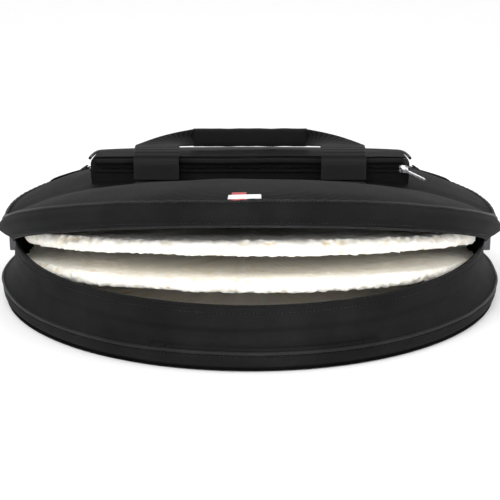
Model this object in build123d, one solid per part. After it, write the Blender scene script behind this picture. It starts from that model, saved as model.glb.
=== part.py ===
from build123d import *
from math import cos, radians, sin
import os

os.makedirs("parts", exist_ok=True)

# A round, flat, padded carrying bag for a handpan or cymbals, lying on one face.
# Millimetres. The origin is the middle of the underside, +Z is up and the front is -Y.

# Base
BASE_R = 280.0  # widest radius, at the bottom band
FACE_R = 264.0  # flat part of the underside
BAND_TOP_Z = 18.4  # top of the bottom band
SEAM_Z = 20.2  # piped seam between the band and the wall
WALL_FOOT_Z = 22.0
ZIP_Z = 66.0  # where the two halves of the main zip meet
ZIP_GAP = 0.5  # half the gap between the two halves
TAPE_H = 5.0

# Wall layers, as distances in from the outer face
CLOTH = (0.0, 1.4)
FOAM = (1.5, 5.5)
LINING = (5.6, 6.8)

# Outer face of the wall: height, half-width in X, half-width in Y
WALL_BASE = [(WALL_FOOT_Z, 275.0, 280.0), (36.0, 265.0, 279.0), (60.3, 263.0, 275.0)]
WALL_REAR = [(60.5, 263.0, 275.0), (67.0, 264.0, 275.0), (77.0, 277.0, 280.0), (84.8, 273.0, 274.0)]
WALL_LID = [(71.7, 270.0, 277.0), (77.0, 277.0, 280.0), (84.8, 273.0, 274.0)]
ZIP_RX = 263.0
ZIP_RY = 275.0

# Lid
DOME = [(0.0, 124.0), (90.0, 123.0), (167.0, 119.5), (211.0, 112.0), (252.0, 98.5), (272.0, 87.2)]
LID_R = 272.0
LID_CLOTH = (0.0, 1.4)
LID_FOAM = (1.5, 6.5)
LID_LINING = (6.6, 7.8)
LID_FOAM_R = 258.0
LID_LINING_R = 262.0
PIPING_R = 1.7
LID_PIPING = (274.2, 86.7)  # radius and height of the lid's piped seam

# The front of the lid lifts about a line across the bag
FLAP_Y = -50.0
FLAP_Z = 124.0
FLAP_GAP = 0.4  # from that line to each half's cut edge
FLAP_OPEN = 19.2
OPEN_END_Y = 2.0  # the main zip is undone as far back as this

# Fleece dividers, hinged across the bag at Y = 0 on their top faces
DIVIDER_RX = 254.0
DIVIDER_RY = 264.0
UPPER = (52.0, 66.0, 12.3)  # bottom, top, tilt of the front half
LOWER = (26.0, 38.0, 10.2)
CORE_H = 4.0
CORE_INSET = 8.0
FLOOR_TOP_Z = 18.0

# Accessory pocket on the lid
POCKET_FRONT_Y = -13.0
POCKET_R = 177.0
POCKET_TOP_Z = 149.0
POCKET_CREST_Y = 25.0  # behind this line the top falls away
POCKET_TAIL_DROP = 26.0  # how far it falls by the back edge
POCKET_ZIP_Z = 136.0
POCKET_CLOTH = 1.5
LIP_R = 3.0

# Carrying handle, made of 50 mm webbing
WEB_W = 50.0
WEB_T = 2.2
ANCHOR_Y = (-49.0, -29.5)  # sewn end of each leg, clear of the pocket slider
STRAP_X = 103.0
STRAP_Y = -31.0
STRAP_FOOT_Z = 126.6
STRAP_TOP_Z = 155.5
STRAP_BACK_Y = -12.0
GRIP_X = 64.0
GRIP_Y = (34.0, 40.0)
GRIP_Z = (151.0, 171.0)

# Zip hardware
SLIDER_TURN_Y = -13.0  # centre of the arc that the main sliders follow
PIN_R = 1.0
EYE_BORE_R = 1.4
EYE_R = 2.4
PULLER_W = 9.0
PULLER_L = 25.5
PULLER_T = 2.0
SLIDER_PIN_X = 265.9
MAIN_PIN_Z = 62.6
POCKET_SLIDER_X = 171.0
POCKET_PULLER_DROP = 26.0  # degrees below level

# Strap rings on the lid's shoulder, behind the middle
TAB_R = (258.0, 270.0)
TAB_ARC = (24.5, 37.0)
TAB_T = 2.2
RING_ARC = 38.2
RING_SEAT_R = 264.0
RING_SLOPE = 30.5
RING_LIFT = 3.7  # from the lid to the middle of the ring's bar
RING_WIRE_R = 1.6
RING_W = 22.0
RING_D = 15.0
LOOP_R = 3.2
LOOP_BORE_R = 2.0
LOOP_L = 12.0

BIG = 800.0


def save(node, shape):
    """Write one sub-part."""
    shape.label = node
    export_step(shape, f"parts/{node}.step")


def front_of(y):
    """Everything with Y below y."""
    return Pos(0, y - BIG / 2, 0) * Box(BIG, BIG, BIG)


def behind(y):
    """Everything with Y above y."""
    return Pos(0, y + BIG / 2, 0) * Box(BIG, BIG, BIG)


def block(x, y, z):
    """A box from three (low, high) pairs."""
    size = [pair[1] - pair[0] for pair in (x, y, z)]
    middle = [(pair[0] + pair[1]) / 2 for pair in (x, y, z)]
    return Pos(*middle) * Box(*size)


def spin(face, arc=360.0):
    """Revolve a face that lies in the XZ plane."""
    return revolve(face, Axis.Z, arc)


def polygon_xz(points):
    """A flat face from (r, z) points."""
    return Face(Wire.make_polygon([(r, 0, z) for r, z in points], close=True))


def hoop(radius, height, wire_r):
    """A whole round hoop."""
    return Pos(0, 0, height) * Torus(radius, wire_r)


def opened(shape):
    """Lift a shape of the closed lid with the front of the lid."""
    return shape.rotate(Axis((0, FLAP_Y, FLAP_Z), (-1, 0, 0)), FLAP_OPEN)


# ---- Walls and panels


def wall(sections, layer):
    """One layer of a wall that runs all round the bag."""
    skins = []
    for inset in layer:
        faces = [Pos(0, 0, z) * Ellipse(rx - inset, ry - inset) for z, rx, ry in sections]
        skins.append(loft(faces, ruled=True))
    return skins[0] - skins[1]


def band(low, high, layer, rx=ZIP_RX, ry=ZIP_RY):
    """A straight band all round the bag, at the zip."""
    outer = extrude(Ellipse(rx - layer[0], ry - layer[0]), high - low)
    inner = extrude(Ellipse(rx - layer[1], ry - layer[1]), high - low)
    return Pos(0, 0, low) * (outer - inner)


def dome_layer(layer, r_out, r_in=0.0, arc=360.0):
    """One layer of the lid, by its distances below the lid's outer face."""
    curves = []
    for drop in layer:
        whole = Spline(*[(r, 0, z - drop) for r, z in DOME])
        curves.append(whole)
    low = min(layer)
    high = max(layer)
    face = Face(
        Wire(
            [
                curves[0],
                Line(curves[0] @ 1, curves[1] @ 1),
                curves[1],
                Line(curves[1] @ 0, curves[0] @ 0),
            ]
        )
    )
    trim_z = (DOME[-1][1] - high - 1, DOME[0][1] - low + 1)
    face = face & polygon_xz([(r_in, trim_z[0]), (r_out, trim_z[0]), (r_out, trim_z[1]), (r_in, trim_z[1])])
    return spin(face, arc)


def below_lid():
    """The space under the lid's outer face, for shaping what is sewn on top of it."""
    top = Spline(*[(r, 0, z) for r, z in DOME])
    edge = Line(top @ 1, (LID_R, 0, 0))
    floor = Line((LID_R, 0, 0), (0, 0, 0))
    middle = Line((0, 0, 0), top @ 0)
    return spin(Face(Wire([top, edge, floor, middle])))


def make_bottom():
    """The underside: cloth pan, stiffening board and fleece floor."""
    cloth = 1.6
    pan = [(0, 0), (FACE_R, 0), (276, 5), (BASE_R, BAND_TOP_Z)]
    pan += [(BASE_R - cloth, BAND_TOP_Z), (276 - cloth, 6.5), (FACE_R - 1, cloth), (0, cloth)]
    save("bottom_panel", spin(polygon_xz(pan)))
    save("bottom_board", Pos(0, 0, 4.9) * Cylinder(FACE_R - 3, 6.0))
    save("floor_fleece", Pos(0, 0, 13.1) * Cylinder(272, 2 * (FLOOR_TOP_Z - 13.1)))
    save("bottom_piping", hoop(BASE_R - 0.6, SEAM_Z, PIPING_R))


def make_walls():
    """The wall below the zip, and the uncut wall behind it."""
    save("base_gusset", wall(WALL_BASE, CLOTH))
    save("base_gusset_foam", wall(WALL_BASE, FOAM))
    save("base_gusset_lining", wall(WALL_BASE, LINING))
    names = {"rear_gusset": CLOTH, "rear_gusset_foam": FOAM, "rear_gusset_lining": LINING}
    for node, layer in names.items():
        back = wall(WALL_REAR, layer) & behind(OPEN_END_Y)
        cheeks = wall(WALL_LID, layer) & behind(FLAP_Y + FLAP_GAP) & front_of(OPEN_END_Y)
        save(node, back + cheeks)
    for node, layer in (("lid_front_gusset", CLOTH), ("lid_front_gusset_lining", (1.5, 6.8))):
        save(node, opened(wall(WALL_LID, layer) & front_of(FLAP_Y - FLAP_GAP)))


def make_lid():
    """The lid's layers, cut into a fixed rear part and a front flap."""
    layers = {
        "panel": dome_layer(LID_CLOTH, LID_R),
        "foam": dome_layer(LID_FOAM, LID_FOAM_R),
        "lining": dome_layer(LID_LINING, LID_LINING_R),
        "piping": hoop(LID_PIPING[0], LID_PIPING[1], PIPING_R),
    }
    for name, whole in layers.items():
        save(f"lid_rear_{name}", whole & behind(FLAP_Y + FLAP_GAP))
        save(f"lid_front_{name}", opened(whole & front_of(FLAP_Y - FLAP_GAP)))
    label = dome_layer((-0.1, -1.0), 268.0, 247.0, 8.0)
    save("woven_label", opened(label.rotate(Axis.Z, -94.5)))


def make_main_zip():
    """Tapes and coils of the main zip. Its upper half ends on the fixed cheeks."""
    lower_edge = ZIP_Z - ZIP_GAP
    upper_edge = ZIP_Z + ZIP_GAP
    tape = (0.0, 1.2)
    coil = (1.3, 3.3)
    coil_h = 2.2
    save("zip_tape_lower", band(lower_edge - TAPE_H, lower_edge, tape) & front_of(OPEN_END_Y - 0.2))
    save("zip_coil_lower", band(lower_edge - coil_h, lower_edge, coil) & front_of(OPEN_END_Y - 0.2))
    upper_tape = band(upper_edge, upper_edge + TAPE_H, tape)
    upper_coil = band(upper_edge, upper_edge + coil_h, coil)
    flap = front_of(FLAP_Y - FLAP_GAP)
    cheek = behind(FLAP_Y + FLAP_GAP) & front_of(OPEN_END_Y - 0.2)
    save("zip_tape_upper", opened(upper_tape & flap))
    save("zip_coil_upper", opened(upper_coil & flap))
    save("zip_tape_ends", upper_tape & cheek)
    save("zip_coil_ends", upper_coil & cheek)


# ---- Dividers


def make_divider(name, low, high, tilt):
    """A fleece pad with a board in it, as a flat rear half and a lifted front half."""
    middle = (low + high) / 2
    pad = Pos(0, 0, low) * extrude(Ellipse(DIVIDER_RX, DIVIDER_RY), high - low)
    board = Ellipse(DIVIDER_RX - CORE_INSET, DIVIDER_RY - CORE_INSET)
    core = Pos(0, 0, middle - CORE_H / 2) * extrude(board, CORE_H)
    rear = behind(0.4)
    front = front_of(-0.4)
    inner_rear = core & behind(CORE_INSET)
    inner_front = core & front_of(-CORE_INSET)
    save(f"{name}_rear_fleece", (pad & rear) - inner_rear)
    save(f"{name}_rear_core", inner_rear)
    hinge = Axis((0, 0, high), (-1, 0, 0))
    save(f"{name}_front_fleece", ((pad & front) - inner_front).rotate(hinge, tilt))
    save(f"{name}_front_core", inner_front.rotate(hinge, tilt))


def make_divider_seams():
    """Strips that sew the dividers' back edges to the wall's lining."""
    strips = []
    for low, high, _ in (UPPER, LOWER):
        z = (low + high) / 2
        side = 263.0 if low > 40 else 268.0
        outer = Ellipse(side - LINING[1] - 0.2, 268.0)
        strip = extrude(outer - Ellipse(DIVIDER_RX + 0.1, DIVIDER_RY + 0.1), 1.6)
        strips.append(Pos(0, 0, z) * strip & behind(200.0))
    save("divider_seams", Compound(strips[0].solids() + strips[1].solids()))


# ---- Pocket


def pocket_outline(radius, front_y):
    """The pocket's plan: a half disc with a straight front."""
    disc = Pos(0, POCKET_FRONT_Y) * Circle(radius)
    return disc & Pos(0, front_y + BIG / 2) * Rectangle(BIG, BIG)


def pocket_slab(low, high):
    """A slab under the pocket's top face: level in front, falling away behind the crest."""
    tail_y = POCKET_FRONT_Y + POCKET_R + 5
    tail_z = POCKET_TOP_Z - POCKET_TAIL_DROP
    points = [(-40, POCKET_TOP_Z), (POCKET_CREST_Y, POCKET_TOP_Z), (tail_y, tail_z)]
    top = [(0, y, z - high) for y, z in points]
    bottom = [(0, y, z - low) for y, z in reversed(points)]
    face = Face(Wire.make_polygon(top + bottom, close=True))
    return Pos(-BIG / 2, 0, 0) * extrude(face, amount=BIG, dir=(1, 0, 0))


def make_pocket():
    """The zipped pocket on the lid: wall, front, lip, zip, top and piping."""
    lid = below_lid()
    back = POCKET_FRONT_Y + 0.2
    ring = pocket_outline(POCKET_R, back) - pocket_outline(POCKET_R - POCKET_CLOTH, back)
    ring_wall = Pos(0, 0, 90) * extrude(ring, 70)
    save("pocket_gusset", (ring_wall & pocket_slab(80, 2)) - lid)
    half = POCKET_R - 1
    front_y = (POCKET_FRONT_Y - POCKET_CLOTH, POCKET_FRONT_Y)
    save("pocket_front_panel", block((-half, half), front_y, (100, 131.8)) - lid)
    save("pocket_front_band", block((-half, half), front_y, (140.2, POCKET_TOP_Z - 2)))
    lower = block((-half, half), front_y, (132.0, 134.6))
    upper = block((-half, half), front_y, (137.4, 140.0))
    save("pocket_zip_tapes", Compound([lower.solid(), upper.solid()]))
    coil_y = (POCKET_FRONT_Y - POCKET_CLOTH - 0.4, POCKET_FRONT_Y - 0.2)
    save("pocket_zip_coil", block((-half, half), coil_y, (134.8, 137.2)))
    lip = Rot(0, 90, 0) * Cylinder(LIP_R, 2 * half - 6)
    save("pocket_lip", Pos(0, POCKET_FRONT_Y - POCKET_CLOTH - 0.1 - LIP_R, 144.5) * lip)
    top = pocket_outline(POCKET_R, POCKET_FRONT_Y - POCKET_CLOTH)
    save("pocket_top_panel", (Pos(0, 0, 90) * extrude(top, 70)) & pocket_slab(1.8, 0))
    rim = pocket_outline(POCKET_R + 1.8, POCKET_FRONT_Y) - pocket_outline(POCKET_R + 0.1, POCKET_FRONT_Y)
    save("pocket_piping", ((Pos(0, 0, 90) * extrude(rim, 70)) & pocket_slab(3.4, 0)) - lid)


# ---- Handle


def make_strap(side):
    """One webbing leg: up in front of the pocket, over its lip and in to the grip."""
    half = WEB_T / 2
    outer = [(STRAP_Y - half, STRAP_FOOT_Z), (STRAP_Y - half, 146), (STRAP_Y + 3, STRAP_TOP_Z - 2)]
    outer += [(STRAP_Y + 9, STRAP_TOP_Z + half), (STRAP_BACK_Y, STRAP_TOP_Z + half)]
    inner = [(STRAP_BACK_Y, STRAP_TOP_Z - half), (STRAP_Y + 10, STRAP_TOP_Z - half)]
    inner += [(STRAP_Y + 5, STRAP_TOP_Z - 4), (STRAP_Y + half, 145), (STRAP_Y + half, STRAP_FOOT_Z)]
    near = side * STRAP_X - WEB_W / 2
    profile = Face(Wire.make_polygon([(near, y, z) for y, z in outer + inner], close=True))
    leg = extrude(profile, amount=WEB_W, dir=(1, 0, 0))
    foot = Pos(side * STRAP_X, STRAP_Y, STRAP_FOOT_Z) * Rot(0, 90, 0) * Cylinder(half, WEB_W)
    low_x = side * (STRAP_X - WEB_W / 2)
    high_x = side * (STRAP_X + WEB_W / 2)
    end_x = side * GRIP_X
    start = [
        (low_x, STRAP_BACK_Y, STRAP_TOP_Z - half),
        (low_x, STRAP_BACK_Y, STRAP_TOP_Z + half),
        (high_x, STRAP_BACK_Y, STRAP_TOP_Z + half),
        (high_x, STRAP_BACK_Y, STRAP_TOP_Z - half),
    ]
    end = [
        (end_x, GRIP_Y[0], GRIP_Z[0]),
        (end_x, GRIP_Y[0], GRIP_Z[1]),
        (end_x, GRIP_Y[1], GRIP_Z[1]),
        (end_x, GRIP_Y[1], GRIP_Z[0]),
    ]
    faces = [Face(Wire.make_polygon(points, close=True)) for points in (start, end)]
    return leg + foot + loft(faces, ruled=True)


def make_handle():
    """Sewn webbing ends on the lid, two legs and the folded grip."""
    raised = dome_layer((-0.1, -2.0), LID_R)
    ends = []
    for side in (-1, 1):
        near = side * STRAP_X - WEB_W / 2
        area = block((near, near + WEB_W), ANCHOR_Y, (100, 140))
        ends.append((raised & area).solid())
    save("handle_anchors", Compound(ends))
    save("handle_strap_left", make_strap(-1))
    save("handle_strap_right", make_strap(1))
    grip = block((-GRIP_X + 0.05, GRIP_X - 0.05), GRIP_Y, GRIP_Z)
    save("handle_grip", fillet(grip.edges().filter_by(Axis.X), 2.4))


# ---- Zip hardware


def make_puller():
    """A ribbed puller that hangs down from the origin and turns about X."""
    eye = Rot(0, 90, 0) * Cylinder(EYE_R, PULLER_W)
    plate = Pos(0, 0, -PULLER_L / 2) * Box(PULLER_W, PULLER_T, PULLER_L)
    plate = fillet(plate.edges().filter_by(Axis.Y), 1.2)
    window = Pos(0, 0, -PULLER_L / 2 - 1) * Box(PULLER_W - 3.4, PULLER_T, PULLER_L - 7)
    solid = eye + (plate - window)
    web = Pos(0, 0, -PULLER_L / 2 - 1) * Box(PULLER_W - 3.4, 0.8, PULLER_L - 7)
    solid = solid + web
    ribs = 6
    pitch = (PULLER_L - 7) / ribs
    for index in range(ribs):
        z = -4.5 - pitch * (index + 0.5)
        solid = solid + Pos(0, 0, z) * Box(PULLER_W - 3.4, 1.6, pitch * 0.5)
    return solid - Rot(0, 90, 0) * Cylinder(EYE_BORE_R, PULLER_W + 2)


def make_slider_body(length, height, depth):
    """A slider against a wall in the XZ plane, with a pin along -Y that a puller turns on."""
    shell = Pos(0, -depth / 2, 0) * Box(length, depth, height)
    shell = fillet(shell.edges().filter_by(Axis.Y), 1.6)
    reach = PULLER_W + 1.4
    pin = Pos(0, -depth - reach / 2, 0) * Rot(90, 0, 0) * Cylinder(PIN_R, reach)
    head = Pos(0, -depth - reach, 0) * Rot(90, 0, 0) * Cylinder(1.9, 1.0)
    return shell + pin + head


def make_hardware():
    """Three sliders and their pullers."""
    depth = 1.6
    centre_of_puller = depth + 0.6 + PULLER_W / 2
    for side, name in ((-1, "left"), (1, "right")):
        turn = Rot(0, 0, 90 * side)
        start = SLIDER_PIN_X - depth
        body = turn * make_slider_body(9.0, 5.0, depth)
        save(f"main_slider_{name}", Pos(side * start, 0, MAIN_PIN_Z) * body)
        across = start + centre_of_puller
        save(f"main_puller_{name}", Pos(side * across, 0, MAIN_PIN_Z) * make_puller())
    wall_y = POCKET_FRONT_Y - POCKET_CLOTH - 0.7
    body = make_slider_body(10.0, 8.0, depth)
    save("pocket_slider", Pos(POCKET_SLIDER_X, wall_y, POCKET_ZIP_Z) * body)
    puller = Rot(0, POCKET_PULLER_DROP - 90, 0) * (Rot(0, 0, 90) * make_puller())
    save("pocket_puller", Pos(POCKET_SLIDER_X, wall_y - centre_of_puller, POCKET_ZIP_Z) * puller)


# ---- Strap rings


def dome_height(radius):
    """Height of the lid's outer face at a radius."""
    curve = Spline(*[(r, 0, z) for r, z in DOME])
    cutter = Line((radius, 0, 0), (radius, 0, 200))
    return curve.intersect(cutter).vertices()[0].Z


def ring_plane(side):
    """Local frame at a ring's bar: X along the bar, Z away from the lid, Y to the rear."""
    angle = radians(RING_ARC if side > 0 else 180 - RING_ARC)
    slope = radians(RING_SLOPE)
    radial = Vector(cos(angle), sin(angle), 0)
    up = Vector(0, 0, 1)
    bar = (radial * cos(slope) - up * sin(slope)) * side
    normal = radial * sin(slope) + up * cos(slope)
    seat = radial * RING_SEAT_R + up * dome_height(RING_SEAT_R)
    return Plane(origin=seat + normal * RING_LIFT, x_dir=bar, z_dir=normal)


def make_rings():
    """A webbing tab and a wire ring on each shoulder of the lid."""
    for side, name in ((-1, "left"), (1, "right")):
        plane = ring_plane(side)
        print(f"ring_{name}", [round(v, 3) for v in plane.origin], [round(v, 4) for v in plane.x_dir])
        start = TAB_ARC[0] if side > 0 else 180 - TAB_ARC[1]
        tab = dome_layer((-0.1, -TAB_T), TAB_R[1], TAB_R[0], TAB_ARC[1] - TAB_ARC[0])
        save(f"ring_tab_{name}", tab.rotate(Axis.Z, start))
        tube = Rot(0, 90, 0) * (Cylinder(LOOP_R, LOOP_L) - Cylinder(LOOP_BORE_R, LOOP_L))
        save(f"ring_loop_{name}", plane.location * tube)
        path = Pos(0, RING_D / 2) * RectangleRounded(RING_W, RING_D, 3.5)
        loop = path.wire()
        section = Plane(origin=loop @ 0, z_dir=loop % 0) * Circle(RING_WIRE_R)
        save(f"ring_{name}", plane.location * sweep(section, path=loop))


make_bottom()
make_walls()
make_lid()
make_main_zip()
make_divider("divider_upper", *UPPER)
make_divider("divider_lower", *LOWER)
make_divider_seams()
make_pocket()
make_handle()
make_hardware()
make_rings()
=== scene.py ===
import bmesh
import bpy
from math import cos, pi, radians, sin, sqrt
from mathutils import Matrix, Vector, noise


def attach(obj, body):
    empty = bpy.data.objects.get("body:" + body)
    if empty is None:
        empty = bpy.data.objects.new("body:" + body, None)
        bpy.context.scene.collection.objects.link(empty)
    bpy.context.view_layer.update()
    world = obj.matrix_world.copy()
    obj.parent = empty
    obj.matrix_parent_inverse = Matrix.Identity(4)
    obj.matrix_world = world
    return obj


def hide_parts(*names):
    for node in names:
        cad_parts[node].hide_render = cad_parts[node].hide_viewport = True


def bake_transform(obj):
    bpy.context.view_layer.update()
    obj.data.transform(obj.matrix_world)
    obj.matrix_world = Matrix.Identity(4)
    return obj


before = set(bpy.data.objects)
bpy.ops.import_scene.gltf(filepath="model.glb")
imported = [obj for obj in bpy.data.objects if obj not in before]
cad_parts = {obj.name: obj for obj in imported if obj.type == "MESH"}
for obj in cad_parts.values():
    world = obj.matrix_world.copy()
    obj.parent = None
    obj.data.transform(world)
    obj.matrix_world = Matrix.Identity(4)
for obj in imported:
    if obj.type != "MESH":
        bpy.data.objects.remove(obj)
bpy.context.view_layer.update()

MM = 0.001
BASE = "bag_base"
FLAP_AXIS = (-0.050, 0.124)  # Y and Z of the line that the lid bends about
FLAP_OPEN = 19.2
FLAP_BEND = (-0.015, -0.085)  # Y where the lid's bend starts and ends
DIVIDER_BEND = 0.030
OPEN_ANGLE = 89.0  # the main zip is open this far round each side of the front

# Wall and lid profiles in mm: height, half-width in X, half-width in Y
DOME = [(124.0, 0.0), (123.7, 45.0), (123.0, 90.0), (121.6, 130.0), (119.5, 167.0), (116.4, 190.0)]
DOME += [(112.0, 211.0), (106.2, 232.0), (98.5, 252.0), (92.6, 264.0), (88.2, 271.5)]
SHOULDER = [(87.6, 273.6, 274.6), (86.0, 275.0, 276.4), (82.0, 277.6, 279.6), (77.5, 277.8, 280.4)]
SHOULDER += [(73.0, 272.5, 279.0), (69.0, 265.6, 276.4), (66.6, 263.2, 275.2)]
WALL = [(65.4, 263.0, 275.0), (60.0, 262.4, 275.6), (54.0, 262.8, 277.6), (46.0, 263.4, 278.6)]
WALL += [(40.0, 264.2, 277.8), (35.0, 265.8, 279.4), (29.0, 269.4, 280.2), (24.0, 273.6, 280.6)]
WALL += [(21.6, 277.0, 280.2), (20.2, 277.4, 279.6), (18.6, 278.2, 280.4), (13.0, 279.2, 281.2)]
WALL += [(7.0, 277.6, 279.4), (2.4, 271.5, 273.0), (0.5, 264.0, 264.0), (0.4, 130.0, 130.0), (0.4, 1.0, 1.0)]

SEAM_T = (len(DOME) - 1) / (len(DOME) + len(SHOULDER) - 1)  # the lid's seam, as a share of its profile
CLOTH_THICK = 4.5  # shell of cloth, foam and lining, in mm
WEB_THICK = 2.2
FLOOR_GAP = 0.3  # the lowest point of the base above the floor, in mm
CAMERA_REACH = 1.377
CAMERA_RISE = 18.0
CAMERA_AIM = 0.037


# ---- Materials


def material(name, color, rough):
    """A principled material and its parts."""
    mat = bpy.data.materials.new(name)
    mat.use_nodes = True
    tree = mat.node_tree
    shader = tree.nodes["Principled BSDF"]
    shader.inputs["Base Color"].default_value = (*color, 1.0)
    shader.inputs["Roughness"].default_value = rough
    return mat, tree, shader


def add(tree, kind, **values):
    """A node with some of its inputs set."""
    node = tree.nodes.new(kind)
    for key, value in values.items():
        node.inputs[key.replace("_", " ")].default_value = value
    return node


def place(tree):
    """Object coordinates."""
    return tree.nodes.new("ShaderNodeTexCoord").outputs["Object"]


def bump(tree, shader, sources):
    """Chained bumps from (height output, strength, distance in metres)."""
    last = None
    for height, strength, distance in sources:
        node = add(tree, "ShaderNodeBump", Strength=strength, Distance=distance)
        tree.links.new(height, node.inputs["Height"])
        if last:
            tree.links.new(last.outputs["Normal"], node.inputs["Normal"])
        last = node
    tree.links.new(last.outputs["Normal"], shader.inputs["Normal"])


def ramp(tree, factor, stops, target):
    """A colour ramp from factor to a shader input."""
    node = tree.nodes.new("ShaderNodeValToRGB")
    elements = node.color_ramp.elements
    while len(elements) < len(stops):
        elements.new(0.5)
    for element, (position, color) in zip(elements, stops):
        element.position = position
        element.color = (*color, 1.0)
    tree.links.new(factor, node.inputs["Fac"])
    tree.links.new(node.outputs["Color"], target)
    return node


def weave_height(tree, pitch):
    """Crossed threads: two wave patterns multiplied together, plus a third."""
    where = place(tree)
    waves = []
    for direction in ("X", "Y", "Z"):
        wave = add(tree, "ShaderNodeTexWave", Scale=0.314 / pitch, Distortion=0.6, Detail=1.0)
        wave.bands_direction = direction
        tree.links.new(where, wave.inputs["Vector"])
        waves.append(wave.outputs["Fac"])
    first = tree.nodes.new("ShaderNodeMath")
    first.operation = "MULTIPLY"
    tree.links.new(waves[0], first.inputs[0])
    tree.links.new(waves[1], first.inputs[1])
    second = tree.nodes.new("ShaderNodeMath")
    second.operation = "ADD"
    tree.links.new(first.outputs[0], second.inputs[0])
    tree.links.new(waves[2], second.inputs[1])
    return second.outputs[0]


def cloth_material(name, dark, light, rough, pitch, sheen=0.25, folds=1.0):
    """Woven cloth with slow shade changes, threads and soft creases."""
    mat, tree, shader = material(name, dark, rough)
    shader.inputs["Sheen Weight"].default_value = sheen
    shader.inputs["Sheen Roughness"].default_value = 0.45
    shader.inputs["Specular IOR Level"].default_value = 0.07
    cloudy = add(tree, "ShaderNodeTexNoise", Scale=14.0, Detail=5.0, Roughness=0.6)
    tree.links.new(place(tree), cloudy.inputs["Vector"])
    ramp(tree, cloudy.outputs["Fac"], [(0.35, dark), (0.7, light)], shader.inputs["Base Color"])
    crease = add(tree, "ShaderNodeTexNoise", Scale=26.0, Detail=3.0, Roughness=0.5)
    tree.links.new(place(tree), crease.inputs["Vector"])
    threads = (weave_height(tree, pitch), 0.5, 0.0004)
    bump(tree, shader, [(crease.outputs["Fac"], 0.35 * folds, 0.004), threads])
    return mat


def webbing_material():
    """Ribbed webbing, with painted shade in the grooves between the ribs."""
    mat, tree, shader = material("webbing", (0.006, 0.006, 0.0065), 0.5)
    shader.inputs["Specular IOR Level"].default_value = 0.1
    shader.inputs["Sheen Weight"].default_value = 0.03
    where = place(tree)
    ribs = add(tree, "ShaderNodeTexWave", Scale=75.0, Distortion=0.3)
    ribs.bands_direction = "Y"
    tree.links.new(where, ribs.inputs["Vector"])
    # painted shade: the colour follows the rib height, darker in the grooves between ribs and lighter on
    # their tops
    stops = [(0.2, (0.004, 0.004, 0.004)), (0.8, (0.013, 0.013, 0.014))]
    ramp(tree, ribs.outputs["Fac"], stops, shader.inputs["Base Color"])
    bump(tree, shader, [(ribs.outputs["Fac"], 0.5, 0.0006), (weave_height(tree, 0.0011), 0.6, 0.0004)])
    return mat


def fleece_material():
    """Cream curls, with painted shade: tan in the hollows between them, lighter on their tops."""
    mat, tree, shader = material("fleece", (0.93, 0.86, 0.72), 0.9)
    shader.inputs["Sheen Weight"].default_value = 0.4
    shader.inputs["Subsurface Weight"].default_value = 0.15
    shader.inputs["Subsurface Radius"].default_value = (0.006, 0.004, 0.002)
    curl = tree.nodes.new("ShaderNodeAttribute")
    curl.attribute_name = "curl"
    # painted shade: the curl height picks the colour, tan where it is low in the hollows, near white where it
    # is high
    stops = [(0.0, (0.78, 0.62, 0.42)), (0.22, (0.93, 0.85, 0.7))]
    stops += [(0.45, (0.96, 0.92, 0.83)), (1.0, (0.98, 0.96, 0.9))]
    ramp(tree, curl.outputs["Fac"], stops, shader.inputs["Base Color"])
    fluff = add(tree, "ShaderNodeTexNoise", Scale=420.0, Detail=6.0, Roughness=0.7)
    tree.links.new(place(tree), fluff.inputs["Vector"])
    bump(tree, shader, [(fluff.outputs["Fac"], 0.8, 0.0012)])
    return mat


def metal_material(name="zip_metal", tone=(0.78, 0.78, 0.8)):
    """Worn nickel."""
    mat, tree, shader = material(name, tone, 0.2)
    shader.inputs["Metallic"].default_value = 1.0
    wear = add(tree, "ShaderNodeTexNoise", Scale=900.0, Detail=4.0)
    tree.links.new(place(tree), wear.inputs["Vector"])
    stops = [(0.3, (0.14, 0.14, 0.14)), (0.7, (0.34, 0.34, 0.34))]
    ramp(tree, wear.outputs["Fac"], stops, shader.inputs["Roughness"])
    bump(tree, shader, [(wear.outputs["Fac"], 0.15, 0.0002)])
    return mat


def coil_material():
    """Glossy moulded coil."""
    mat, tree, shader = material("zip_coil", (0.02, 0.02, 0.022), 0.28)
    grain = add(tree, "ShaderNodeTexNoise", Scale=700.0, Detail=2.0)
    tree.links.new(place(tree), grain.inputs["Vector"])
    stops = [(0.3, (0.014, 0.014, 0.015)), (0.7, (0.04, 0.04, 0.043))]
    ramp(tree, grain.outputs["Fac"], stops, shader.inputs["Base Color"])
    bump(tree, shader, [(grain.outputs["Fac"], 0.2, 0.0002)])
    return mat


NYLON = cloth_material("nylon", (0.0045, 0.0045, 0.0048), (0.009, 0.009, 0.0095), 0.66, 0.0012, sheen=0.0)
TAPE = cloth_material("zip_tape", (0.004, 0.004, 0.004), (0.008, 0.008, 0.008),
                      0.45, 0.0008, sheen=0.02, folds=0.4)
LINING = cloth_material("lining", (0.006, 0.006, 0.006), (0.010, 0.010, 0.010), 0.8, 0.0012, sheen=0.0)
PIPING = cloth_material("piping", (0.010, 0.010, 0.0105), (0.02, 0.02, 0.021),
                        0.36, 0.0009, sheen=0.03, folds=0.4)
THREAD = cloth_material("thread", (0.02, 0.02, 0.021), (0.045, 0.045, 0.047),
                        0.45, 0.0005, sheen=0.03, folds=0.1)
LABEL_RED = cloth_material("label_red", (0.35, 0.01, 0.015), (0.55, 0.02, 0.03), 0.6, 0.0005, folds=0.1)
LABEL_WHITE = cloth_material("label_white", (0.7, 0.7, 0.7), (0.85, 0.85, 0.85), 0.6, 0.0005, folds=0.1)
WEBBING = webbing_material()
FLEECE = fleece_material()
METAL = metal_material()
DARK_METAL = metal_material("zip_metal_dark", (0.1, 0.1, 0.105))
COIL = coil_material()


# ---- Mesh helpers


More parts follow.
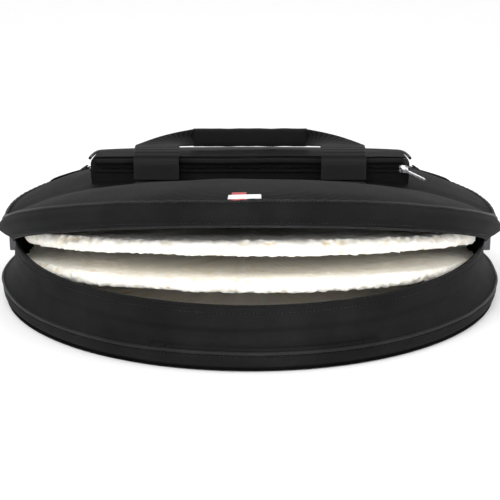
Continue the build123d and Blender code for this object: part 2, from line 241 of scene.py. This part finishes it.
def piece(name, verts, faces, mat, smooth=True):
    """A mesh object in metres."""
    mesh = bpy.data.meshes.new(name)
    mesh.from_pydata([tuple(v) for v in verts], [], faces)
    mesh.materials.append(mat)
    mesh.validate()
    mesh.polygons.foreach_set("use_smooth", [smooth] * len(mesh.polygons))
    obj = bpy.data.objects.new(name, mesh)
    bpy.context.scene.collection.objects.link(obj)
    return obj


def grid(name, rows, mat, around=False, closed_rows=False):
    """A mesh from rows of points. around joins each row's ends, closed_rows the first row to the last."""
    wide = len(rows[0])
    verts = [point for row in rows for point in row]
    faces = []
    tall = len(rows) if closed_rows else len(rows) - 1
    for i in range(tall):
        below = (i + 1) % len(rows)
        for j in range(wide if around else wide - 1):
            right = (j + 1) % wide
            faces.append((i * wide + j, i * wide + right, below * wide + right, below * wide + j))
    return piece(name, verts, faces, mat)


def finish_mesh(obj):
    """Applies the object's modifiers."""
    bpy.context.view_layer.update()
    depsgraph = bpy.context.evaluated_depsgraph_get()
    mesh = bpy.data.meshes.new_from_object(obj.evaluated_get(depsgraph))
    obj.modifiers.clear()
    obj.data = mesh


def thicken(obj, thickness, offset=-1.0, levels=0):
    """Gives a sheet its thickness, then smooths it."""
    solid = obj.modifiers.new("thick", "SOLIDIFY")
    solid.thickness = thickness
    solid.offset = offset
    if levels:
        smooth = obj.modifiers.new("smooth", "SUBSURF")
        smooth.levels = levels
        smooth.render_levels = levels
    finish_mesh(obj)


def smoothstep(t):
    """0 to 1 with level ends."""
    t = min(max(t, 0.0), 1.0)
    return t * t * (3 - 2 * t)


def tilted(point, axis, turn):
    """A point turned by an angle in degrees about a line along X, front up."""
    y = point[1] - axis[0]
    z = point[2] - axis[1]
    a = radians(turn)
    return (point[0], axis[0] + y * cos(a) + z * sin(a), axis[1] - y * sin(a) + z * cos(a))


def lift_lid(obj):
    """Opens a piece of the closed lid: turns it about the flap's axis, not at all behind the bend and fully
    in front of it.
    """
    start, end = FLAP_BEND
    for vertex in obj.data.vertices:
        share = smoothstep((start - vertex.co.y) / (start - end))
        vertex.co = tilted(vertex.co, FLAP_AXIS, FLAP_OPEN * share)
    obj.data.update()
    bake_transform(obj)


def oval(rx, ry, angle):
    """Radius of an oval at an angle from the front."""
    if rx < 1e-6:
        return 0.0
    return rx * ry / sqrt((ry * sin(angle)) ** 2 + (rx * cos(angle)) ** 2)


def polar(radius, angle, z):
    """A point in metres from mm and an angle from the front towards +X."""
    return (radius * sin(angle) * MM, -radius * cos(angle) * MM, z * MM)


def between(sections, t):
    """A point along a list of (z, rx, ry), by a smooth curve through them."""
    last = len(sections) - 1
    at = min(max(t, 0.0), 1.0) * last
    i = min(int(at), last - 1)
    u = at - i
    picks = [sections[min(max(i + k, 0), last)] for k in (-1, 0, 1, 2)]
    out = []
    for a, b, c, d in zip(*picks):
        square = 2 * a - 5 * b + 4 * c - d
        cube = 3 * b - a - 3 * c + d
        out.append(0.5 * (2 * b + (c - a) * u + square * u * u + cube * u**3))
    return out


def wrinkle(point, scale, seed):
    """Smooth noise at a point in metres."""
    return noise.noise(Vector(point) * scale + Vector((seed, seed * 1.7, -seed)))


def tube(name, centres, radius, mat, closed=False, sides=10):
    """A round tube along points."""
    rows = []
    count = len(centres)
    for i, centre in enumerate(centres):
        ahead = Vector(centres[(i + 1) % count] if closed else centres[min(i + 1, count - 1)])
        back = Vector(centres[i - 1] if closed else centres[max(i - 1, 0)])
        along = (ahead - back).normalized()
        side = along.cross(Vector((0, 0, 1)))
        side = side.normalized() if side.length > 1e-6 else Vector((1, 0, 0))
        up = side.cross(along)
        ring = []
        for k in range(sides):
            a = 2 * pi * k / sides
            ring.append(Vector(centre) + (side * cos(a) + up * sin(a)) * radius)
        rows.append(ring)
    obj = grid(name, rows, mat, around=True, closed_rows=closed)
    if not closed:
        mesh = obj.data
        verts = [v.co[:] for v in mesh.vertices]
        faces = [tuple(p.vertices) for p in mesh.polygons]
        faces.append(tuple(range(sides)))
        faces.append(tuple(reversed(range((count - 1) * sides, count * sides))))
        obj.data.clear_geometry()
        obj.data.from_pydata(verts, [], faces)
        obj.data.polygons.foreach_set("use_smooth", [True] * len(faces))
    return obj


def bars(name, spots, size, mat):
    """Many small bevelled bars. Each spot is (centre, along, up)."""
    verts = []
    faces = []
    shape = [(-1, 0, 0), (-0.7, 1, 0), (0.7, 1, 0), (1, 0, 0), (0.7, -1, 0), (-0.7, -1, 0)]
    top = [(-0.6, 0.5, 1), (0.6, 0.5, 1), (0.6, -0.5, 1), (-0.6, -0.5, 1)]
    half = [s / 2 for s in size]
    for centre, along, up in spots:
        along = Vector(along).normalized()
        side = Vector(up).cross(along).normalized()
        out = along.cross(side)
        first = len(verts)
        for x, y, z in shape + top:
            verts.append(Vector(centre) + along * x * half[0] + side * y * half[1] + out * z * half[2])
        faces += [tuple(first + k for k in face) for face in (
            (6, 9, 8, 7), (0, 1, 6), (1, 2, 7, 6), (2, 3, 7), (3, 4, 8), (4, 5, 9, 8),
            (5, 0, 9), (0, 6, 9), (3, 8, 7),
            (5, 4, 3, 2, 1, 0),
        )]
    return piece(name, verts, faces, mat)


def stitches(name, path, up, pitch=3.8 * MM):
    """A row of stitches along points, standing on a surface with normals up."""
    spots = []
    left = 0.0
    for i in range(len(path) - 1):
        a = Vector(path[i])
        b = Vector(path[i + 1])
        length = (b - a).length
        while left < length:
            spots.append((a.lerp(b, left / length), b - a, up[i]))
            left += pitch
        left -= length
    return bars(name, spots, (2.7 * MM, 0.9 * MM, 0.8 * MM), THREAD)


# ---- Lid and walls


def lid_point(t, angle, out=0.0):
    """A point of the closed lid's outer face, from the middle (0) to the zip (1)."""
    sections = [(z, r, r) for z, r in DOME] + SHOULDER
    z, rx, ry = between(sections, t)
    radius = oval(max(rx, 0.0), max(ry, 0.0), angle)
    point = polar(radius, angle, z)
    soft = min(radius / 120.0, 1.0)
    sag = wrinkle(point, 9.0, 3.0) * 1.6 + wrinkle(point, 24.0, 7.0) * 0.8
    edge = smoothstep((t - 0.62) / 0.2)
    sag = sag * soft * (1 - 0.4 * edge)
    pucker = 0.35 * sin(angle * 150 + 2 * sin(angle * 9)) * smoothstep(1 - abs(t - SEAM_T) / 0.05)
    return (point[0], point[1], point[2] + (sag + pucker + out) * MM)


def wall_point(t, angle):
    """A point of the base's outer face, from the zip (0) to the middle of the underside (1)."""
    z, rx, ry = between(WALL, t)
    front = max(cos(angle), 0.0)
    radius = oval(rx, ry, angle)
    if t < 0.72:
        spot = polar(radius, angle, z)
        ripple = wrinkle(spot, 11.0, 11.0) * 1.6 + wrinkle((spot[0], spot[1], spot[2] * 3), 26.0, 5.0) * 0.9
        fade = smoothstep(t / 0.08) * smoothstep((0.5 - abs(t - 0.3)) / 0.2)
        crease = sin(z * 0.42 + 3.0 * wrinkle(spot, 5.0, 2.0)) * front * 0.5
        radius += (ripple + crease) * fade
    z -= 2.0 * front**2 * (1 - t) if t < 0.5 else 0.0
    return polar(radius, angle, max(z, 0.3))


def ring_angles(count, start=-180.0, end=180.0):
    """Angles in radians, both ends included."""
    return [radians(start + (end - start) * i / count) for i in range(count + 1)]


def make_lid():
    """One continuous lid from its middle to the zip."""
    steps = 110
    round_count = 720
    rows = []
    for i in range(steps + 1):
        t = 0.004 + 0.996 * i / steps
        rows.append([lid_point(t, a) for a in ring_angles(round_count)[:-1]])
    rows.reverse()
    lid = grid("lid_cover", rows, NYLON, around=True)
    thicken(lid, CLOTH_THICK * MM, offset=-1.0)
    fix_normals(lid)
    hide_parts("lid_rear_panel", "lid_rear_foam", "lid_rear_lining", "lid_front_panel",
                "lid_front_foam", "lid_front_lining", "lid_front_gusset", "lid_front_gusset_lining",
                "rear_gusset", "rear_gusset_foam", "rear_gusset_lining")
    lift_lid(lid)


def fix_normals(obj):
    """Points every face outwards."""
    work = bmesh.new()
    work.from_mesh(obj.data)
    bmesh.ops.recalc_face_normals(work, faces=work.faces)
    work.to_mesh(obj.data)
    work.free()


def make_lid_seam():
    """Piping and two rows of stitches round the lid's edge."""
    centres = []
    for angle in ring_angles(480)[:-1]:
        p = lid_point(SEAM_T + 0.012, angle)
        r = sqrt(p[0] ** 2 + p[1] ** 2)
        centres.append((p[0] * (r + 0.0006) / r, p[1] * (r + 0.0006) / r, p[2] + 0.0006))
    piping = tube("lid_piping", centres, 1.7 * MM, PIPING, closed=True)
    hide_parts("lid_rear_piping", "lid_front_piping")
    lift_lid(piping)
    for index, t in enumerate((SEAM_T - 0.022, SEAM_T + 0.06)):
        path = [lid_point(t, a, 0.25) for a in ring_angles(900)]
        up = [(p[0] * 2, p[1] * 2, 0.35) for p in path]
        row = stitches(f"lid_stitches_{index + 1}", path, up)
        lift_lid(row)


def make_base():
    """One continuous base: wall, bottom band and underside."""
    steps = 120
    rows = []
    for i in range(steps + 1):
        rows.append([wall_point(i / steps, a) for a in ring_angles(720)[:-1]])
    rows.reverse()
    base = grid("base_cover", rows, NYLON, around=True)
    thicken(base, CLOTH_THICK * MM, offset=-1.0)
    for vertex in base.data.vertices:
        vertex.co.z = max(vertex.co.z, FLOOR_GAP * MM)  # nothing reaches under the floor
    fix_normals(base)
    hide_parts("base_gusset", "base_gusset_foam", "base_gusset_lining", "bottom_panel", "bottom_board")
    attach(base, BASE)
    seam = 9.3 / (len(WALL) - 1)
    centres = []
    for angle in ring_angles(480)[:-1]:
        p = wall_point(seam, angle)
        r = sqrt(p[0] ** 2 + p[1] ** 2)
        centres.append((p[0] * (r + 0.0012) / r, p[1] * (r + 0.0012) / r, p[2]))
    piping = tube("base_piping", centres, 1.6 * MM, PIPING, closed=True)
    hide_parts("bottom_piping")
    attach(piping, BASE)
    for index, t in enumerate((7.9, 10.4)):
        path = [wall_point(t / (len(WALL) - 1), a) for a in ring_angles(900)]
        up = [(p[0], p[1], 0) for p in path]
        row = stitches(f"base_stitches_{index + 1}", path, up)
        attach(row, BASE)


# ---- Main zip


def zip_half(name, low, high, drop, lid):
    """A tape that shows above or below the cloth's edge, its coil and a stitch row."""
    limit = OPEN_ANGLE if not lid else OPEN_ANGLE - 1
    angles = ring_angles(400, -limit, limit)

    def at(z, inset, angle):
        sag = 2.0 * max(cos(angle), 0.0) ** 2 if not lid else 0.0
        return polar(oval(263.0, 275.0, angle) - inset, angle, z - sag)

    heights = [low + (high - low) * k / 4 for k in range(5)]
    rows = [[at(z, 1.2 + 0.3 * sin(k), a) for a in angles] for k, z in enumerate(heights)]
    tape = grid(f"{name}_tape", rows, TAPE)
    thicken(tape, 0.9 * MM, offset=0.0)
    mesh_z = (high - 1.2) if drop > 0 else (low + 1.2)
    teeth = []
    for a in ring_angles(620, -limit, limit):
        p = at(mesh_z, 1.0, a)
        teeth.append((p, (0, 0, 1), (sin(a), -cos(a), 0)))
    coil = bars(f"{name}_coil", teeth, (3.0 * MM, 1.0 * MM, 1.3 * MM), COIL)
    core = tube(f"{name}_coil_core", [at(mesh_z, 1.6, a) for a in angles], 0.9 * MM, COIL)
    path = []
    for a in angles:
        if lid:
            path.append(lid_point(0.945, a, 0.0))
        else:
            path.append(wall_point(1.15 / (len(WALL) - 1), a))
    row = stitches(f"{name}_stitches", path, [(p[0], p[1], 0) for p in path])
    return tape, coil, core, row


def make_main_zip():
    """Both halves of the main zip."""
    lower = zip_half("zip_lower", 60.0, 67.2, 1, False)
    upper = zip_half("zip_upper", 64.6, 71.0, -1, True)
    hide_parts("zip_tape_lower")
    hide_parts("zip_coil_lower")
    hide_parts("zip_tape_upper", "zip_tape_ends")
    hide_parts("zip_coil_upper", "zip_coil_ends")
    for obj in lower:
        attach(obj, BASE)
    for obj in upper:
        lift_lid(obj)


# ---- Fleece


def fleece_pad(name, low, high, rx, ry, axis_z, tilt, seed):
    """A curly pad with a ragged edge, built flat and then tilted in front of the middle."""
    rounds = 760
    middle = (low + high) / 2
    half = (high - low) / 2
    rows = []
    plan = []
    inner = [0.02, 0.15, 0.3, 0.45, 0.58, 0.7]
    inner += [0.72 + 0.28 * k / 26 for k in range(27)]
    for share in inner:
        plan.append((share, 1.0))
    for k in range(1, 10):
        a = pi / 2 - pi * k / 10
        plan.append((1.0 + half * cos(a) / 264.0 * 0.9, sin(a)))
    for share in reversed(inner):
        plan.append((share, -1.0))
    curls = []
    for share, side in plan:
        row = []
        for j in range(rounds):
            angle = 2 * pi * j / rounds
            radius = (oval(rx, ry, angle) - half) * share
            spot = polar(radius, angle, middle + half * side)
            v = Vector(spot)
            coarse = noise.noise(v * 120 + Vector((seed, 0, 0)))
            fine = noise.noise(v * 260 + Vector((0, seed, 0)))
            tiny = noise.noise(v * 420 + Vector((0, 0, seed)))
            curl = 0.42 * coarse + 0.4 * fine + 0.3 * tiny
            near_edge = smoothstep((share - 0.6) / 0.3)
            ragged = (curl * 4.2 + noise.noise(v * 28) * 2.6) * near_edge
            lift = curl * 2.4 + noise.noise(v * 12) * 1.5 * near_edge
            rise = lift * (side if abs(side) > 0.3 else 0.5)
            spot = polar(radius + ragged, angle, middle + half * side + rise)
            row.append(spot)
            # curl height, also stored for the fleece's painted shade: low values turn tan in the hollows
            curls.append(min(max(0.5 + curl * 1.1, 0.0), 1.0))
        rows.append(row)
    pad = grid(name, rows, FLEECE, around=True)
    fix_normals(pad)
    layer = pad.data.attributes.new("curl", "FLOAT", "POINT")
    layer.data.foreach_set("value", curls)
    if tilt:
        for vertex in pad.data.vertices:
            share = smoothstep((DIVIDER_BEND - vertex.co.y) / (2 * DIVIDER_BEND))
            vertex.co = tilted(vertex.co, (0.0, axis_z * MM), tilt * share)
    return pad


def make_fleece():
    """Floor and two dividers."""
    floor = fleece_pad("floor_fleece_pad", 9.0, 17.0, 262.0, 268.0, 0, 0, 4.0)
    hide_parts("floor_fleece")
    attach(floor, BASE)
    for name, low, high, tilt, seed in (("upper", 52.0, 66.0, 12.3, 9.0), ("lower", 26.0, 38.0, 10.2, 17.0)):
        pad = fleece_pad(f"divider_{name}_fleece", low, high, 254.0, 264.0, high, tilt, seed)
        parts = [f"divider_{name}_{half}_{kind}" for half in ("front", "rear") for kind in ("fleece", "core")]
        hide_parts(*parts)
        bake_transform(pad)


# ---- Pocket


POCKET_Y = -13.0
POCKET_R = 177.0


def pocket_rim(t, inset=0.0):
    """The pocket's outline in mm: t from 0 to 1 along the arc at the back, right to left."""
    a = pi * t
    radius = POCKET_R - inset
    return radius * cos(a), POCKET_Y + radius * sin(a)


def dome_z(radius):
    """Height of the closed lid at a radius, in mm."""
    for (z1, r1), (z2, r2) in zip(DOME, DOME[1:]):
        if radius <= r2:
            return z1 + (z2 - z1) * (radius - r1) / (r2 - r1)
    return DOME[-1][0]


def pocket_top(y):
    """Height of the pocket's top, in mm: level in front, falling to the lid behind."""
    crest = 25.0
    fall = 26.0 / 144.0
    soft = 14.0
    past = y - crest
    if past < -soft:
        return 147.6
    if past < soft:
        return 147.6 - fall * (past + soft) ** 2 / (4 * soft)
    return 147.6 - fall * past


def outline(inset, count_arc=150, count_front=70):
    """Closed D outline with slightly rounded front corners."""
    points = [pocket_rim(i / count_arc, inset) for i in range(count_arc + 1)]
    half = POCKET_R - inset
    for i in range(1, count_front):
        x = -half + 2 * half * i / count_front
        points.append((x, POCKET_Y + min(inset, 2.0)))
    return points


def make_pocket():
    """Pocket cover, lip, zip and piping."""
    levels = [(0.0, 0.0), (0.0, 0.15), (-0.6, 0.35), (-1.0, 0.6), (-0.4, 0.85), (0.8, 0.95)]
    rows = []
    for inset, share in levels:
        row = []
        for x, y in outline(inset):
            foot = dome_z(sqrt(x * x + y * y)) - 2.0
            z = foot + (max(pocket_top(y) - 0.6, foot) - foot) * share
            row.append((x * MM, y * MM, z * MM))
        rows.append(row)
    for inset, lift in ((2.5, 148.6), (6, 149.2), (14, 149.6), (30, 150.0),
                        (55, 150.2), (90, 150.2), (130, 150.2), (170, 150.2)):
        row = []
        for x, y in outline(inset):
            p = (x * MM, y * MM, 0)
            ripple = (wrinkle(p, 12.0, 21.0) * 1.2 + wrinkle(p, 30.0, 2.0) * 0.5) * min(inset / 20, 1.0)
            row.append((x * MM, y * MM, (pocket_top(y) + lift - 148.4 + ripple) * MM))
        rows.append(row)
    cover = grid("pocket_cover", rows, NYLON, around=True)
    centre = len(rows[-1])
    first = len(cover.data.vertices) - centre
    verts = [v.co[:] for v in cover.data.vertices]
    faces = [tuple(p.vertices) for p in cover.data.polygons] + [tuple(range(first, first + centre))]
    cover.data.clear_geometry()
    cover.data.from_pydata(verts, [], faces)
    cover.data.polygons.foreach_set("use_smooth", [True] * len(faces))
    fix_normals(cover)
    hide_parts("pocket_gusset", "pocket_top_panel", "pocket_front_panel", "pocket_front_band")
    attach(cover, BASE)
    edge = [pocket_rim(i / 160, -1.0) for i in range(161)]
    rim = [(x * MM, y * MM, (pocket_top(y) - 0.2) * MM) for x, y in edge]
    piping = tube("pocket_edge_piping", rim, 1.7 * MM, PIPING)
    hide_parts("pocket_piping")
    front = POCKET_Y - 1.5
    lip_path = [(x * MM, (front - 2.6) * MM, (144.6 + 0.4 * sin(x * 0.05)) * MM) for x in range(-172, 173, 4)]
    lip = tube("pocket_rolled_lip", lip_path, 3.0 * MM, NYLON, sides=16)
    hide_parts("pocket_lip")
    ball = ball_end("pocket_lip_end", (172 * MM, (front - 2.6) * MM, 144.6 * MM), 3.8 * MM)
    tapes = []
    for low, high in ((131.8, 134.6), (137.4, 140.4)):
        rows = [[(x * MM, (front - 0.3) * MM, z * MM) for x in range(-175, 176, 5)]
                for z in (low, (low + high) / 2, high)]
        tapes.append(grid(f"pocket_tape_{'lower' if low < 133 else 'upper'}", rows, TAPE))
        thicken(tapes[-1], 0.7 * MM, offset=0.0)
    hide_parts("pocket_zip_tapes")
    spots = []
    for i in range(235):
        x = -175.5 + 1.5 * i
        spots.append(((x * MM, (front - 0.7) * MM, 136 * MM), (0, 0, 1), (0, -1, 0)))
    teeth = bars("pocket_zip_teeth", spots, (4.4 * MM, 1.0 * MM, 1.2 * MM), COIL)
    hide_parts("pocket_zip_coil")
    slots = ((piping, "piping"), (lip, "piping"), (ball, "piping"), (teeth, "zip_coil"),
             (tapes[0], "zip_tape"), (tapes[1], "zip_tape"))
    for obj, name in slots:
        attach(obj, BASE)


def ball_end(name, centre, radius):
    """A small knob."""
    rows = []
    for i in range(1, 12):
        a = pi * i / 12
        rows.append([(centre[0] + radius * cos(a), centre[1] + radius * sin(a) * cos(b),
                      centre[2] + radius * sin(a) * sin(b))
                     for b in [2 * pi * k / 20 for k in range(20)]])
    obj = grid(name, rows, PIPING, around=True)
    cap = list(range(20))
    verts = [v.co[:] for v in obj.data.vertices]
    faces = [tuple(p.vertices) for p in obj.data.polygons] + [tuple(cap), tuple(range(200, 220))]
    obj.data.clear_geometry()
    obj.data.from_pydata(verts, [], faces)
    fix_normals(obj)
    obj.data.polygons.foreach_set("use_smooth", [True] * len(faces))
    return obj


# ---- Handle


STRAP_X = 103.0
WEB_HALF = 25.0
HANDLE_PATH = [(-31.0, 126.4), (-31.2, 138.0), (-30.6, 147.0), (-26.0, 154.5), (-17.0, 158.5), (-7.0, 160.5)]


def ribbon(name, rows, mat, thickness):
    """A strap from rows of points across its width."""
    strap = grid(name, rows, mat)
    thicken(strap, thickness * MM, offset=0.0, levels=1)
    fix_normals(strap)
    return strap


def handle_row(t, side):
    """Across-the-width points of the handle's webbing: t 0 at the foot, 1 at the grip."""
    across = []
    for k in range(13):
        u = -1 + 2 * k / 12
        foot_x = side * STRAP_X + side * u * WEB_HALF
        if t < 0.5:
            y, z = between([(a, b) for a, b in HANDLE_PATH], t / 0.5)
            across.append((foot_x * MM, y * MM, z * MM))
            continue
        s = smoothstep((t - 0.5) / 0.5)
        y0, z0 = HANDLE_PATH[-1]
        fold = pi * (u + 1) / 2
        end = (side * 64.0, 37.0 - 3.0 * cos(fold * 2), 151.4 + 20.0 * (u + 1) / 2)
        bulge = 2.4 * sin(pi * s)
        x = foot_x + (end[0] - foot_x) * s
        y = y0 + (end[1] - y0) * s
        z = z0 + (end[2] - z0) * s + bulge * (1 + u) / 2
        across.append((x * MM, y * MM, z * MM))
    return across


def make_handle():
    """Webbing legs, the folded grip, its ribs and the sewn ends."""
    for side, name in ((-1, "left"), (1, "right")):
        rows = [handle_row(i / 40, side) for i in range(41)]
        strap = ribbon(f"handle_{name}_webbing", rows, WEBBING, WEB_THICK)
        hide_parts(f"handle_strap_{name}")
        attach(strap, "handle")
        rows = []
        for i in range(13):
            y = -49.0 + 20.5 * i / 12
            row = []
            for k in range(13):
                x = side * STRAP_X - WEB_HALF + 2 * WEB_HALF * k / 12
                row.append((x * MM, y * MM, (dome_z(sqrt(x * x + y * y)) + 1.6) * MM))
            rows.append(row)
        patch = ribbon(f"handle_{name}_sewn_end", rows, WEBBING, WEB_THICK)
        if side < 0:
            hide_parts("handle_anchors")
        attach(patch, BASE)
        lines = []
        for y in (-47.4, -45.4, -38.5, -36.5):
            lines.append([(side * STRAP_X + WEB_HALF * 0.92 * (k / 20 - 1), y) for k in range(41)])
        for index, line in enumerate(lines):
            path = [(x * MM, y * MM, (dome_z(sqrt(x * x + y * y)) + 2.8) * MM) for x, y in line]
            row = stitches(f"handle_{name}_stitches_{index + 1}", path, [(0, 0, 1)] * len(path), 3.0 * MM)
            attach(row, BASE)
    rows = []
    length = 130
    for i in range(length + 1):
        x = -65.0 + i
        rib = 0.35 * max(0.0, sin(2 * pi * x / 3.2))
        swell = 0.6 * wrinkle((x * MM, 0, 0), 60, 3)
        row = []
        for k in range(28):
            a = 2 * pi * k / 28
            y = 37.0 + (3.6 + rib + swell * 0.4) * (abs(sin(a)) ** 0.7) * (1 if sin(a) > 0 else -1)
            z = 161.0 + (10.4 + rib) * (abs(cos(a)) ** 0.6) * (1 if cos(a) > 0 else -1) + swell
            row.append((x * MM, y * MM, z * MM))
        rows.append(row)
    grip = grid("handle_folded_grip", rows, WEBBING, around=True)
    verts = [v.co[:] for v in grip.data.vertices]
    faces = [tuple(p.vertices) for p in grip.data.polygons]
    faces += [tuple(range(28)), tuple(range(length * 28, length * 28 + 28))]
    grip.data.clear_geometry()
    grip.data.from_pydata(verts, [], faces)
    fix_normals(grip)
    grip.data.polygons.foreach_set("use_smooth", [True] * len(faces))
    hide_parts("handle_grip")
    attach(grip, "handle")


# ---- Trim


def make_label():
    """A woven tab on the front of the lid: a red block behind a white band, no letters."""
    blocks = (("label_red_block", LABEL_RED, (-3.7, -0.7), (0.482, 0.588), 0.8),
              ("label_white_block", LABEL_WHITE, (-4.3, 2.2), (0.513, 0.560), 1.4))
    for name, mat, (low, high), (upper, lower), out in blocks:
        rows = []
        for i in range(9):
            t = upper + (lower - upper) * i / 8
            rows.append([lid_point(t, radians(low + (high - low) * k / 12), out) for k in range(13)])
        tab = grid(name, rows, mat)
        thicken(tab, 0.7 * MM, offset=0.0)
        if name.startswith("label_red"):
            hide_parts("woven_label")
        lift_lid(tab)


def make_tabs():
    """Webbing tabs that hold the strap rings."""
    for side, name in ((-1, "left"), (1, "right")):
        rows = []
        for i in range(25):
            angle = radians(90 + 24.5 + 12.5 * i / 24) * side
            row = []
            for k in range(9):
                r = 257.5 + 12.5 * k / 8
                row.append(polar(r, angle, dome_z(r) + 2.2 + 0.4 * sin(pi * k / 8)))
            rows.append(row)
        tab = ribbon(f"strap_tab_{name}", rows, WEBBING, 1.8)
        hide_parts(f"ring_tab_{name}")
        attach(tab, BASE)


def dress_nodes():
    """Materials for the CAD nodes that stay in view."""
    looks = {"main_": DARK_METAL, "pocket_slider": METAL, "pocket_puller": METAL}
    looks.update({"ring_left": METAL, "ring_right": METAL})
    looks.update({"ring_loop": WEBBING, "divider_seams": LINING})
    for node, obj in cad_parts.items():
        for start, mat in looks.items():
            if node.startswith(start):
                for slot_index in range(len(obj.material_slots)):
                    obj.material_slots[slot_index].material = mat


def make_stage():
    """Pale floor, soft lights and the camera."""
    half = 6.0
    floor = piece("floor", [(-half, -half, 0), (half, -half, 0), (half, half, 0), (-half, half, 0)],
                  [(0, 1, 2, 3)], material("floor", (0.92, 0.92, 0.92), 0.9)[0])
    scene = bpy.context.scene
    world = bpy.data.worlds.new("studio")
    world.use_nodes = True
    world.node_tree.nodes["Background"].inputs["Color"].default_value = (1, 1, 1, 1)
    world.node_tree.nodes["Background"].inputs["Strength"].default_value = 1.05
    scene.world = world
    lamps = (("key", (-0.5, -1.3, 1.5), 1.0, 16), ("mouth", (0.1, -1.7, 0.3), 0.9, 13),
             ("fill", (1.4, -0.5, 0.9), 1.0, 5))
    for name, spot, size, power in lamps:
        lamp = bpy.data.lights.new(name, "AREA")
        lamp.size = size
        lamp.energy = power
        obj = bpy.data.objects.new(name, lamp)
        obj.location = spot
        obj.rotation_euler = (Vector((0, 0, 0.08)) - Vector(spot)).to_track_quat("-Z", "Y").to_euler()
        scene.collection.objects.link(obj)
    lens = bpy.data.cameras.new("camera")
    lens.lens = 85.6
    lens.sensor_width = 36.0
    camera = bpy.data.objects.new("camera", lens)
    elevation = radians(CAMERA_RISE)
    spot = Vector((0, -cos(elevation), sin(elevation))) * CAMERA_REACH
    aim = Vector((0, 0, CAMERA_AIM))
    camera.location = spot
    camera.rotation_euler = (aim - spot).to_track_quat("-Z", "Y").to_euler()
    scene.collection.objects.link(camera)
    scene.camera = camera
    scene.view_settings.view_transform = "Standard"


make_base()
make_lid()
make_lid_seam()
make_main_zip()
make_fleece()
make_pocket()
make_handle()
make_label()
make_tabs()
dress_nodes()
make_stage()
